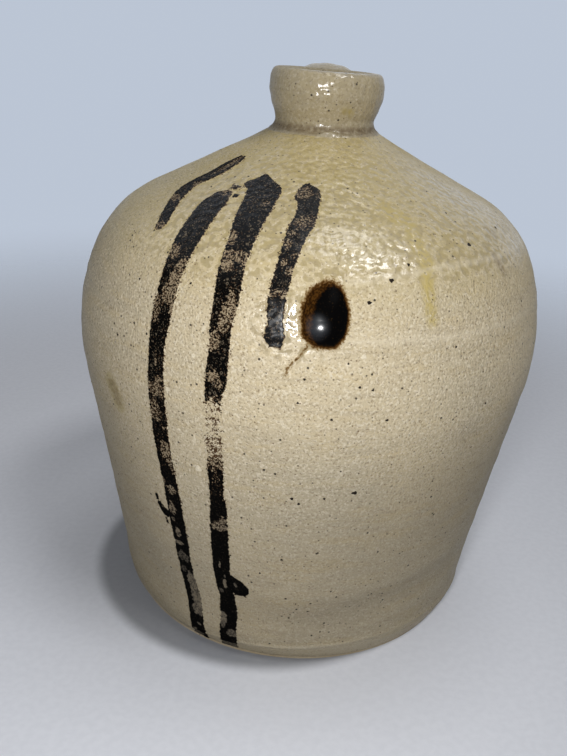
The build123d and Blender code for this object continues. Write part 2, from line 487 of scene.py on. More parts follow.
WARM_TAN = (0.63, 0.53, 0.355)
GREY_TAN = (0.56, 0.48, 0.335)
STREAK_TAN = (0.45, 0.375, 0.26)
GOLD_TAN = (0.62, 0.48, 0.245)
VALLEY_SHADE_TAN = (0.34, 0.27, 0.15)
PALE_SALT_AND_HIGHLIGHT = (0.78, 0.69, 0.52)
OCHRE = (0.52, 0.41, 0.155)
SMUDGE_AND_SHADE = (0.18, 0.12, 0.06)
IRON = (0.020, 0.014, 0.010)
IRON_BROWN = (0.17, 0.105, 0.055)
GRAIN_BROWN = (0.27, 0.195, 0.115)
BARE_CLAY = (0.46, 0.39, 0.28)
DARK_CLAY = (0.38, 0.31, 0.21)
CLAY_SPECK = (0.10, 0.06, 0.04)
FOOT_CLAY = (0.42, 0.35, 0.225)
LINING_DARK = (0.045, 0.022, 0.012)
LINING_LIGHT = (0.13, 0.062, 0.028)
LINING_SPECK = (0.012, 0.008, 0.006)
SLIP_BLACK = (0.003, 0.0028, 0.0025)
SLIP_FLECK = (0.20, 0.16, 0.11)
# Thin slip, and slip about to break up, each high on the jug and low on it. The low thin slip is a darker
# copy: painted shade
THIN_SLIP = ((0.33, 0.26, 0.168), (0.175, 0.145, 0.102))
RUSTY_SLIP = ((0.085, 0.047, 0.024), (0.075, 0.064, 0.05))
# Glass from thin to deep: the depth where each colour starts, where it is full, and the colour
GLASS = (
    (0.04, 0.22, (0.27, 0.175, 0.075)),
    (0.18, 0.4, (0.075, 0.031, 0.006)),
    (0.4, 0.62, (0.022, 0.0085, 0.002)),
    (0.6, 0.85, (0.002, 0.0018, 0.0018)),
)
GLASS_SPARK = (0.10, 0.055, 0.018)

PEEL_DEPTH = 0.62


def peel(shader):
    """The waves of the salt glaze."""
    return shader.noise(2.4, 0.3)


def glaze_colour(shader):
    """Salt glaze over buff clay: cloudy tan, wheel streaks, fine grain, iron specks and stains."""
    dull = shader.mark("dull")
    fine = shader.ramp(dull, 0.2, 1, 1.0, 0.6)
    colour = shader.mix(shader.ramp(shader.noise(55, 3), 0.38, 0.64), WARM_TAN, GREY_TAN)
    colour = shader.mix(shader.ramp(shader.noise(4, 2, (6, 6, 1)), 0.50, 0.70, 0, 0.26), colour, GOLD_TAN)
    streaks = shader.noise(2.0, 3, (11, 11, 1))
    colour = shader.mix(shader.ramp(streaks, 0.50, 0.74, 0, 0.42), colour, STREAK_TAN)
    salt = shader.ramp(shader.noise(1.0, 3), 0.50, 0.64, 0, 0.8)
    colour = shader.mix(shader.times(salt, fine), colour, PALE_SALT_AND_HIGHLIGHT)
    grain = shader.ramp(shader.noise(0.8, 3), 0.46, 0.31, 0, 0.66)
    colour = shader.mix(shader.times(grain, fine), colour, GRAIN_BROWN)
    # Painted shade in the valleys of the peel, where the glaze is glossy and high on the jug
    valley_shade = shader.ramp(peel(shader), 0.53, 0.40, 0, 0.75)
    glossy = shader.ramp(shader.mark("gloss"), 0.15, 0.75)
    thick = shader.times(glossy, shader.ramp(dull, 0, 0.6, 1, 0.12))
    colour = shader.mix(shader.times(valley_shade, thick), colour, VALLEY_SHADE_TAN)
    smears = shader.ramp(shader.noise(1.6, 2), 0.3, 0.6, 0.4, 1.0)
    patches = shader.ramp(shader.noise(11, 2), 0.42, 0.60, 0.25, 0.9)
    layers = (
        (shader.mark("ochre"), smears, OCHRE),
        # brown smudges, with painted shade in the collar's crease and along the foot's lower edge
        (shader.mark("smudge"), smears, SMUDGE_AND_SHADE),
        (shader.specks(5.2, 0.5), 0.7, PALE_SALT_AND_HIGHLIGHT),
        (shader.specks(2.7, 0.36), patches, IRON_BROWN),
        (shader.specks(3.5, 0.4), 0.75, IRON),
        (shader.specks(5.6, 0.56), 0.9, IRON),
    )
    for where, strength, tint in layers:
        colour = shader.mix(shader.times(where, strength), colour, tint)
    # Pale chips, and painted highlights along the lines of the body
    colour = shader.mix(shader.mark("pale"), colour, PALE_SALT_AND_HIGHLIGHT)
    colour = shader.mix(shader.mark("iron"), colour, IRON)
    # Painted shade: the colour darkens towards the foot, on the lower sides and in the hollow above the foot
    return shader.shade(colour, shader.ramp(dull, -0.4, 1.4, 1.12, 0.58))


def glaze_height(shader):
    """Orange peel that is strongest where the glaze is thick, and a fine pebble where it is thin."""
    gloss = shader.mark("gloss")
    waves = shader.times(peel(shader), shader.ramp(gloss, 0, 1, 0.28, 0.9))
    pebble = shader.times(shader.noise(0.8, 2), shader.ramp(gloss, 0.1, 0.8, 1.0, 0.08))
    return shader.plus(waves, pebble)


def shine(shader, matte, glossy, wettest):
    """Level of the mirrored light where the gloss is none, full, and at its places beyond that."""
    gloss = shader.mark("gloss")
    more = shader.ramp(gloss, 1.0, 1.35, 0, wettest - glossy)
    return shader.plus(shader.ramp(gloss, 0, 1, matte, glossy), more)


def salt_glaze():
    """Clear, uneven glaze that is shiniest on the front of the shoulder."""
    shader = Shader("salt_glaze")
    uneven = shader.ramp(shader.noise(9, 2), 0.3, 0.7, -0.06, 0.06)
    rough = shader.plus(shader.ramp(shader.mark("gloss"), 0, 1, 0.5, 0.14), uneven)
    shader.set(
        Base_Color=glaze_colour(shader),
        Roughness=rough,
        Specular_IOR_Level=shine(shader, 0.06, 0.4, 0.85),
        Normal=shader.bump(glaze_height(shader), PEEL_DEPTH),
    )
    return shader.material


def bare_clay():
    """Bare fired clay underneath, with a thin salt glaze on the slanted foot band."""
    shader = Shader("bare_clay")
    clay = shader.mix(shader.ramp(shader.noise(14, 4), 0.3, 0.7), BARE_CLAY, DARK_CLAY)
    clay = shader.mix(shader.specks(3.4, 0.5), clay, CLAY_SPECK)
    glazed = shader.mark("glazed")
    band = shader.mix(0.22, glaze_colour(shader), FOOT_CLAY)
    shader.set(
        Base_Color=shader.mix(glazed, clay, band),
        Roughness=shader.ramp(glazed, 0, 1, 0.86, 0.5),
        Specular_IOR_Level=0.15,
        Normal=shader.bump(glaze_height(shader), PEEL_DEPTH),
    )
    return shader.material


def brown_lining():
    """Dark slip glaze poured through the inside, with runs that break to a lighter brown."""
    shader = Shader("brown_lining")
    runs = shader.ramp(shader.noise(7, 3, (1, 1, 6)), 0.35, 0.72)
    colour = shader.mix(runs, LINING_DARK, LINING_LIGHT)
    colour = shader.mix(shader.specks(5, 0.6), colour, LINING_SPECK)
    shader.set(
        Base_Color=colour,
        Roughness=shader.ramp(runs, 0, 1, 0.14, 0.28),
        Normal=shader.bump(shader.noise(3, 2), 0.12),
    )
    return shader.material


def dark_slip():
    """Brushed slip that crawled as it melted: black where it is thick, a mottled brown net where thin."""
    shader = Shader("dark_slip")
    cover = shader.mark("cover")
    dull = shader.mark("dull")
    calm = shader.ramp(dull, 0.3, 0.95, 1.0, 0.26)
    grain = shader.ramp(shader.noise(0.55, 2), 0.2, 0.8, -0.5, 0.5)
    grain = shader.times(grain, calm)
    blots = shader.ramp(shader.cells(1.05), 0.1, 0.8, -0.16, 0.2)
    blots = shader.times(blots, calm)
    clumps = shader.ramp(shader.noise(1.7, 1), 0.3, 0.7, -0.34, 0.34)
    clumps = shader.times(clumps, shader.ramp(cover, 0.3, 0.5, 1, 0))
    level = shader.plus(cover, shader.plus(grain, shader.plus(blots, clumps)))
    stain = shader.plus(cover, shader.times(grain, 0.4))
    # Painted shade: thin slip low on the jug is darker
    low_down = shader.ramp(dull, 0.2, 0.9)
    brown = shader.mix(low_down, *THIN_SLIP)
    colour = shader.mix(shader.ramp(stain, 0.2, 0.34), glaze_colour(shader), brown)
    rust = shader.mix(low_down, *RUSTY_SLIP)
    colour = shader.mix(shader.ramp(level, 0.40, 0.52), colour, rust)
    # Burst bubbles left pale flecks and rings, most of them near the heads of the strokes
    bubbles = shader.cells(2.1)
    rings = shader.times(shader.ramp(bubbles, 0.13, 0.18), shader.ramp(bubbles, 0.31, 0.25))
    flecks = shader.ramp(shader.noise(0.6, 2), 0.60, 0.69, 0, 0.8)
    rings = shader.times(rings, shader.ramp(shader.noise(4, 2), 0.45, 0.62, 0, 0.7))
    flecks = shader.math("MAXIMUM", flecks, rings)
    flecks = shader.times(flecks, shader.ramp(dull, 0, 0.35, 1.0, 0.1))
    slip = shader.mix(flecks, SLIP_BLACK, SLIP_FLECK)
    thick = shader.times(shader.ramp(level, 0.58, 0.7), shader.ramp(cover, 0.26, 0.42))
    shader.set(
        Base_Color=shader.mix(thick, colour, slip),
        Roughness=shader.ramp(shader.mark("gloss"), 0, 1, 0.55, 0.36),
        Specular_IOR_Level=shine(shader, 0.0, 0.14, 0.6),
        Normal=shader.bump(glaze_height(shader), PEEL_DEPTH),
    )
    return shader.material


def kiln_drip():
    """Bead of glass, black where it is deep, amber where it thins out over the clay."""
    shader = Shader("kiln_drip")
    uneven = shader.ramp(shader.noise(0.8, 3), 0.25, 0.75, -0.16, 0.16)
    core = shader.plus(shader.mark("core"), uneven)
    colour = glaze_colour(shader)
    for start, full, tint in GLASS:
        colour = shader.mix(shader.ramp(core, start, full), colour, tint)
    sparks = shader.ramp(shader.noise(0.55, 2), 0.63, 0.72, 0, 0.25)
    colour = shader.mix(sparks, colour, GLASS_SPARK)
    wet = shader.mark("wet")
    smoothness = shader.ramp(shader.mark("core"), 0.15, 0.6, PEEL_DEPTH, 0.0)
    height = shader.times(glaze_height(shader), smoothness)
    shader.set(
        Base_Color=colour,
        Roughness=0.34,
        Specular_IOR_Level=shader.ramp(wet, 0, 1, 0.01, 0.06),
        Coat_Weight=shader.ramp(wet, 0, 1, 0.0, 1.0),
        Coat_Roughness=0.2,
        Coat_IOR=1.6,
        Normal=shader.bump(height, 1.0),
    )
    return shader.material


# What shows on the clay

# Runs and smears: bearing and walk of each point, width, strength
OCHRE_RUNS = (
    (((26.6, 50), (28.3, 56), (27.2, 65), (28.0, 73), (26.6, 81), (26.9, 93)), 4.6, 0.75),
    (((23.6, 45), (25.4, 53)), 4.5, 0.55),
    (((-48.0, 132), (-46.0, 140)), 8.0, 0.6),
    (((14.0, 40), (46.0, 66)), 40.0, 0.1),
)
BROWN_SMUDGES = (
    (((-47.5, 133), (-46.0, 139)), 5.5, 0.5),
    (((51.0, 74), (52.4, 81)), 2.8, 0.6),
    (((57.0, 62), (58.5, 67)), 3.0, 0.3),
)
# Large iron spots on the front: bearing, walk, radius
FRONT_SPOTS = (
    (44.2, 67.5, 0.85), (18.1, 78.6, 0.8), (23.0, 73.1, 0.65), (6.2, 126.5, 0.5), (-0.7, 161.4, 0.7),
    (13.1, 158.3, 0.85), (12.8, 86.0, 0.65), (33.4, 100.9, 0.5), (32.6, 103.1, 0.45), (43.5, 128.1, 0.55),
    (17.6, 127.1, 0.5), (11.3, 114.5, 0.5), (0.3, 112.2, 0.45), (-0.7, 120.8, 0.45), (-7.0, 149.5, 0.55),
    (-4.6, 150.7, 0.5), (0.9, 163.6, 0.6), (6.5, 160.8, 0.55), (-2.3, 191.9, 0.5), (-7.7, 200.3, 0.5),
    (-0.7, 212.8, 0.45), (12.8, 211.5, 0.4), (-39.6, 104.5, 0.5), (-35.3, 106.6, 0.5), (-44.7, 111.4, 0.5),
    (-26.4, 85.5, 0.5), (13.6, 110.0, 0.45), (14.0, 115.6, 0.4), (-52.2, 73.6, 0.32), (-51.8, 75.4, 0.4),
    (-51.3, 77.4, 0.36),
)
# Pale chips, the same way
PALE_CHIPS = (
    (-22.4, 155.0, 1.5), (-22.8, 109.5, 0.8), (-28.9, 124.4, 0.9), (-26.6, 140.0, 0.7), (11.8, 104.0, 0.9),
)
SCATTERED_SPOTS = 150
SPOT_SEED = 11
FRONT_HALF = 58.0               # the listed spots lie within this bearing
SMALL_SPOT = 0.45               # scattered spots in front are smaller than this
SPOT_SIZES = (0.25, 0.7)
SPOT_STRETCH = (0.8, 1.35)
SPOTS_FROM = 20.0               # the scattered ones start this far down the body
SPOTS_TO_FOOT = 4.0             # and stop this far above the foot band
SPOT_ROOM = 2.0                 # a spot keeps this far from the edges of its piece


def smear(bearing, walk, line, width):
    """1 along a line drawn on the body, falling to 0 three quarters of a width away."""
    nearest = np.full(np.broadcast(bearing, walk).shape, np.inf)
    places = [np.array([np.radians(upright(b, w)) * radius_at(w), w]) for b, w in line]
    here = np.stack(np.broadcast_arrays(np.radians(bearing) * radius_at(walk), walk), -1)
    for start, end in zip(places, places[1:]):
        run = end - start
        part = np.clip(((here - start) @ run) / (run @ run), 0, 1)
        nearest = np.minimum(nearest, np.linalg.norm(here - start - part[..., None] * run, axis=-1))
    return 1 - smooth(nearest, 0.25 * width, 0.75 * width)


def smeared(bearing, walk, runs):
    """All the runs of one colour together."""
    return sum(strength * smear(bearing, walk, line, width) for line, width, strength in runs)


def clay_marks(bearing, walk):
    """Gloss and stains of the glaze at places on the body."""
    near_front = 0.25 + 0.75 * smooth(np.abs(away_from(bearing, 14)), 75, 38)
    gloss = near_front * (0.12 + 0.88 * smooth(walk, 87, 72)) * (0.5 + 0.5 * smooth(walk, 6, 44))
    gloss = gloss + 0.4 * swell(away_from(bearing, 15), 0, 26) * swell(walk, 66, 15)
    around_drip = 1.3 * swell(away_from(bearing, drip_bearing - 7), 0, 14) * swell(walk, drip_walk + 2, 19)
    ochre = smeared(bearing, walk, OCHRE_RUNS)
    smudge = smeared(bearing, walk, BROWN_SMUDGES)
    height = height_at(walk)
    # Pale lines: painted highlights along the rib's line and, in front, along the foot line; also a lighter
    # line above the seam on the right and a lighter front below the foot line
    pale = 0.4 * swell(height, seam_height + 1, 1.6) * smooth(np.abs(away_from(bearing, 34)), 40, 24)
    pale = pale + 0.38 * slanted_line(bearing, height, 1.2)
    above_line = above_foot_line(bearing, height)
    pale = pale + 0.45 * swell(above_line, 0.3, 1.3) * swell(away_from(bearing, -2), 0, 32)
    pale = pale + 0.18 * smooth(above_line, 1, -1) * swell(away_from(bearing, 0), 0, 55)
    # The glaze thins towards the foot, with calmer grain, and is yellowest on the shoulder. Its darkening
    # towards the foot, on the lower right and lower left and in the hollow above the foot is painted shade.
    lower_right_shade = smooth(np.abs(away_from(bearing, 70)), 95, 5) * swell(height, 80, 55)
    lower_left_shade = smooth(np.abs(away_from(bearing, -70)), 45, 15) * smooth(height, 150, 110)
    dull = smooth(height, 140, 14) + 0.55 * lower_left_shade + 0.7 * lower_right_shade
    dull = dull + 0.35 * foot_hollow(bearing, height)
    ochre = ochre + 0.48 * smooth(walk, 100, 62) + 0.2 * smooth(walk, 62, 20)
    return {
        "gloss": np.maximum(gloss, around_drip),
        "ochre": np.minimum(ochre, 1),
        # painted shade along the lowest edge of the foot
        "smudge": smudge + 0.75 * smooth(height, 1.5, 0.3),
        "pale": pale,
        "dull": np.minimum(dull, 1.4) + np.zeros_like(smudge),
    }


def still_marks(shape, **marks):
    """Marks that are the same everywhere."""
    return {name: np.full(shape, value) for name, value in marks.items()}


# The thrown body: base slab, wall, shoulder dome, collar and lining

def bearings_round(steps):
    """Bearings of even steps round the jug, from the back."""
    return np.arange(steps) * 360 / steps - 180


def turned_rings(profile, steps=BODY_STEPS):
    """Rings of points from radius and height, settled with the rest of the jug."""
    turn = np.radians(bearings_round(steps))
    radius = profile[:, 0, None]
    height = np.broadcast_to(profile[:, 1, None], (len(profile), steps))
    return settled(np.stack([radius * np.sin(turn), -radius * np.cos(turn), height], -1))


def skin_rings(start, end):
    """Rings of the outside between two walks, with their marks. They are closer together near the foot."""
    turn = np.clip(FOOT_WALK - FOOT_ZONE, start, end)
    runs = ((start, turn, BODY_ROW), (turn, end, FOOT_ROW))
    runs = [np.linspace(low, high, int((high - low) / row) + 2) for low, high, row in runs if high > low]
    walk = np.unique(np.concatenate(runs))[:, None]
    bearing = np.broadcast_to(bearings_round(BODY_STEPS), (len(walk), BODY_STEPS))
    return skin(bearing, walk), clay_marks(bearing, walk)


def spot(bearing, walk, radius, stretch, twist, mark):
    """A melted spot: a low blister of uneven outline, dark or pale as its mark says."""
    angle = np.arange(SPOT_STEPS) * 2 * pi / SPOT_STEPS
    share = np.array([1.0, 0.95, 0.6, 0.15])[:, None]
    lift = np.array([-0.2, 0.0, 0.06, 0.08])[:, None]
    ragged = radius * (1 + 0.18 * np.sin(3 * angle + 5 * twist) + 0.1 * np.sin(5 * angle + twist))
    across = share * ragged * np.cos(angle + twist) * stretch
    down = walk + share * ragged * np.sin(angle + twist)
    rings = skin(bearing + np.degrees(across / radius_at(down)), down, np.broadcast_to(lift, across.shape))
    return ring_shell(rings, still_marks(across.shape, **{mark: 1.0}), False)


def spots(start, end):
    """The large spots between two walks: the listed ones in front, and others scattered round the rest."""
    draw = np.random.default_rng(SPOT_SEED)
    places = []
    for mark, listed in (("iron", FRONT_SPOTS), ("pale", PALE_CHIPS)):
        places += [(upright(bearing, walk), walk, size, mark) for bearing, walk, size in listed]
    for _ in range(SCATTERED_SPOTS):
        bearing = draw.uniform(-180, 180)
        walk = draw.uniform(SPOTS_FROM, FOOT_WALK - SPOTS_TO_FOOT)
        size = draw.uniform(*SPOT_SIZES)
        if abs(bearing) > FRONT_HALF or size < SMALL_SPOT:
            places.append((bearing, walk, size, "iron"))
    shells = []
    for bearing, walk, size, mark in places:
        stretch = draw.uniform(*SPOT_STRETCH)
        twist = draw.uniform(0, 2 * pi)
        if start + SPOT_ROOM < walk < end - SPOT_ROOM:
            shells.append(spot(bearing, walk, size, stretch, twist, mark))
    return shells


def body_ring(start, end, inside):
    """One thrown ring of the body: its outside between two walks, and its plain inside."""
    outer, marks = skin_rings(start, end)
    inner = turned_rings(evenly(inside, INSIDE_ROW)[::-1])
    blank = np.zeros(inner.shape[:2])
    marks = {name: np.vstack([mark, blank]) for name, mark in marks.items()}
    return ring_shell(np.concatenate([outer, inner]), marks, True)


def part_below(profile, height):
    """The part of a falling profile below a height."""
    cut = np.interp(-height, -profile[:, 1], profile[:, 0])
    return np.vstack([[cut, height], profile[profile[:, 1] < height - HAIR]])


def build_body(glaze):
    """The wall up to the seam, and the domed shoulder above it."""
    inside = body_outline(wall_thickness, bore_radius, base_height)
    low_inside = part_below(inside, seam_height)
    high_inside = np.vstack([inside[inside[:, 1] > seam_height + HAIR], low_inside[:1]])
    wall = [body_ring(SEAM_WALK, FOOT_WALK, low_inside)] + spots(SEAM_WALK, FOOT_WALK)
    dome = [body_ring(0, SEAM_WALK, high_inside)] + spots(0, SEAM_WALK)
    make_piece("thrown_wall", wall, glaze, "body_wall")
    make_piece("domed_shoulder", dome, glaze, "shoulder_dome")


# Underside: its gap above the table, how far its middle is hollowed, and the arcs of the cutting wire
UNDER_GAP = 0.02
UNDER_HOLLOW = 0.35
WIRE_PLACE = (30.0, 150.0)
WIRE_SPACING = 6.5
WIRE_DEPTH = 0.28


def build_base(clay):
    """Slab under the wall: slanted foot band, soft lower edge, and the cutting wire's arcs underneath."""
    band, marks = skin_rings(FOOT_WALK, WALK[-1])
    falling = np.arange(foot_radius - 2, 0.5, -UNDER_ROW)
    under_radius = np.concatenate([[foot_radius - 0.5], falling, [POLE_RADIUS]])
    turn = np.radians(bearings_round(BODY_STEPS))
    radius = under_radius[:, None]
    x = radius * np.sin(turn)
    y = -radius * np.cos(turn)
    # The wire drew through from the back, so its arcs are parts of circles about a point behind the foot
    drawn = np.hypot(x - WIRE_PLACE[0], y - WIRE_PLACE[1])
    waves = np.sin(2 * pi * drawn / WIRE_SPACING + 0.6 * np.sin(drawn / 9))
    arcs = WIRE_DEPTH * (0.5 + 0.5 * waves) ** 2
    inset = smooth(foot_radius - radius, 1.5, 7)
    under = settled(np.stack([x, y, UNDER_GAP + (arcs + UNDER_HOLLOW) * inset], -1))
    top = turned_rings(np.array([[POLE_RADIUS, base_height], [foot_top_radius - 4, base_height]]))
    rings = np.concatenate([top, band, under])
    glazed = np.concatenate([np.zeros(len(top)), np.linspace(1, 0.75, len(band)), np.zeros(len(under))])
    blank = np.zeros(rings.shape[:2])
    plain = (blank[: len(top)], blank[: len(under)])
    marks = {name: np.vstack([plain[0], mark, plain[1]]) for name, mark in marks.items()}
    marks["glazed"] = blank + glazed[:, None]
    make_piece("foot_slab", [ring_shell(rings, marks, False)], clay, "base_slab")


def through(points, step):
    """Smooth curve through given points, each a list of numbers."""
    points = np.array(points, float)
    ends = np.vstack([2 * points[0] - points[1], points, 2 * points[-1] - points[-2]])
    runs = []
    for before, start, end, after in zip(ends, ends[1:], ends[2:], ends[3:]):
        t = np.linspace(0, 1, max(2, int(np.linalg.norm(end - start) / step) + 1), endpoint=False)[:, None]
        curve = 2 * start + (end - before) * t + (2 * before - 5 * start + 4 * end - after) * t ** 2
        runs.append(0.5 * (curve + (3 * start - before - 3 * end + after) * t ** 3))
    return np.vstack(runs + [points[-1:]])


# Outline of the collar: places out and up from its root, back and down from the lip, and round the mouth
COLLAR_SPREAD = 3.2
COLLAR_NECK = ((2.2, -0.75), (1.2, 0.05), (0.4, 1.3), (0, 3.0), (0.5, 5.2), (1.7, 8.4))
COLLAR_LIP = ((0, 8.0), (0.1, 5.0), (0.5, 2.6), (1.2, 1.0), (2.5, 0.2), (4.8, 0.05))
COLLAR_MOUTH = ((2.6, 0.3), (0.7, 1.2), (0, 3.0))


def build_collar(glaze):
    """Short neck under a thick rolled lip. Its root is smoothed out over the crown."""
    spread = collar_root_radius + COLLAR_SPREAD
    crown = crown_height(spread)
    side = [(spread, crown - 0.4)]
    side += [(collar_root_radius + out, collar_root + up) for out, up in COLLAR_NECK]
    side += [(lip_radius - 0.5, collar_root + 11.2)]
    side += [(lip_radius - back, jug_height - down) for back, down in COLLAR_LIP]
    side += [(bore_radius + out, jug_height - down) for out, down in COLLAR_MOUTH]
    below = [(bore_radius, collar_root + 4), (bore_radius, collar_root - 3), (spread - 1.5, crown - 3)]
    side = through(side, COLLAR_ROW)
    rings = turned_rings(np.vstack([side, below])[::-1], NECK_STEPS)
    bearing = bearings_round(NECK_STEPS)
    height = rings[..., 2]
    turn = np.radians(bearing)
    # Finger rings and a slightly uneven roll
    push = 0.16 * np.sin(2 * turn + 0.9) + 0.1 * np.sin(3 * turn + 2.2) + 0.07 * np.sin(7 * turn + 0.4)
    push = push + 0.07 * np.sin(2 * pi * height / 5.2 + turn) * smooth(height, collar_root, collar_root + 4)
    push = (push + 0.15) * smooth(height, collar_root - 1, collar_root + 5)
    out = np.stack([np.sin(turn), -np.cos(turn), np.zeros_like(turn)], -1)
    radius = np.hypot(rings[..., 0], rings[..., 1])
    outside = radius > bore_radius + 4
    roll = swell(away_from(bearing, 5), 0, 15) * swell(radius, collar_root_radius + 2.4, 1.8)
    roll = roll * (height < collar_root + 2)
    rings = rings + (push * outside)[..., None] * out
    rings[..., 2] += roll
    stain = swell(away_from(bearing, 23), 0, 11) * swell(height, collar_root + 8, 3.0)
    wet_edge = swell(away_from(bearing, 15), 0, 14) * smooth(height, jug_height - 3.2, jug_height - 1.6)
    # The collar's glaze is thin, and its colour is a little darker all round: painted shade
    marks = still_marks(height.shape, dull=0.6)
    marks["ochre"] = 0.2 + 0.8 * stain
    # Painted shade in the crease at the root of the collar, less over the roll
    crease = swell(height, collar_root + 0.7, 2.6)
    marks["smudge"] = 0.8 * crease * (1 - 0.8 * roll)
    gloss = 0.45 + 0.35 * smooth(np.abs(bearing), 60, 20) - 0.3 * crease + 0.9 * roll + 0.7 * wet_edge
    marks["gloss"] = gloss * smooth(radius, 18.5, 20.0)
    make_piece("rolled_collar", [ring_shell(rings, marks, True)], glaze, "neck_collar")


def build_lining(lining):
    """Coat of dark glaze over the whole inside."""
    outer = body_outline(wall_thickness, bore_radius, base_height)
    throat = bore_radius - lining_thickness
    floor = base_height + lining_thickness
    inner = body_outline(wall_thickness + lining_thickness, throat, floor)
    outer = evenly(np.vstack([[bore_radius, lining_top], outer, [POLE_RADIUS, base_height]]), LINING_ROW)
    inner = evenly(np.vstack([[throat, lining_top], inner, [POLE_RADIUS, floor]]), LINING_ROW)
    rings = turned_rings(np.vstack([inner[::-1], outer]), LINING_STEPS)
    shell = ring_shell(rings, {}, False)
    make_piece("poured_lining", [shell], lining, "inner_glaze_lining")


# The pulled strap handle

TIP_ROOM = 0.45                 # the tipped lip lifts one edge of the strap by up to this much


def strap_line():
    """Centre line of the strap in the plane of the handle, and the height at which it lands."""
    crown = strap_top - TIP_ROOM - strap_thickness / 2
    centre = np.array([strap_reach, crown - strap_bend])
    heading = np.linspace(strap_climb, -strap_fall, ARC_POINTS)
    bend = centre + strap_bend * np.stack([-np.sin(heading), np.cos(heading)], -1)
    climb = np.array([cos(strap_climb), sin(strap_climb)])
    fall = np.array([cos(strap_fall), -sin(strap_fall)])
    start = bend[0] - climb * (bend[0][0] - bore_radius - 3) / climb[0]
    landing = crown_height(bend[-1][0])
    end = bend[-1] + fall * (bend[-1][1] - landing + 5)
    return evenly(np.vstack([[start], bend, [end]]), STRAP_ROW), landing


def build_handle(glaze):
    """Strap pulled from wet clay, flared where it was pressed on."""
    line, landing = strap_line()
    along = walked(line)
    ahead = np.gradient(line, along, axis=0)
    angle = np.arange(STRAP_STEPS) * 2 * pi / STRAP_STEPS
    out_of_collar = line[:, 0] - lip_radius
    above_crown = line[:, 1] - landing
    flare = swell(out_of_collar, 0, 6) * (out_of_collar < 8)
    flare = flare + 1.4 * swell(above_crown, 0, 9) * (line[:, 0] > strap_reach)
    taper = smooth(along, 0.3 * along[-1], along[-1])
    half_width = strap_width / 2 + taper + 1.3 * flare
    half_thick = strap_thickness / 2 + 0.3 * taper + 1.1 * flare
    across = half_width[:, None] * np.cos(angle)
    share = across / half_width[:, None]
    rise = half_thick[:, None] * np.sin(angle)
    # Pull grooves along the back of the strap, and the marks of the fingers that pressed its foot
    grooves = 0.22 * np.cos(3.2 * pi * share) * swell(share, 0, 1.05) * (np.sin(angle) > 0)
    press = -1.3 * swell(above_crown, 6, 6)[:, None] * (swell(share, -0.45, 0.4) + swell(share, 0.4, 0.45))
    press = press * (np.sin(angle) > 0) * (line[:, :1] > strap_reach)
    rise = rise + grooves + press + 0.12 * np.sin(along[:, None] / 3.1 + 2 * share)
    back = np.stack([-ahead[:, 1], ahead[:, 0]], -1)
    y = line[:, :1] + rise * back[:, :1]
    z = line[:, 1:] + rise * back[:, 1:]
    z = np.minimum(z, strap_top - TIP_ROOM)
    rings = settled(np.stack([across, y, z], -1))
    marks = still_marks(across.shape, gloss=0.6, dull=0.5, ochre=0.25)
    shell = ring_shell(rings, marks, False)
    make_piece("pulled_handle", [shell], glaze, "strap_handle")


# Brushed slip

SLIP_THICKNESS = 0.3
SLIP_MARGIN = 1.0               # a patch carries on this far past the edge of its slip
SLIP_RIM = 0.05                 # lift of a patch where its slip has run out
SLIP_SUNK = 0.3                 # how deep a patch reaches into the clay
EDGE_STEP = 0.2                 # how closely the curves of its edges are followed

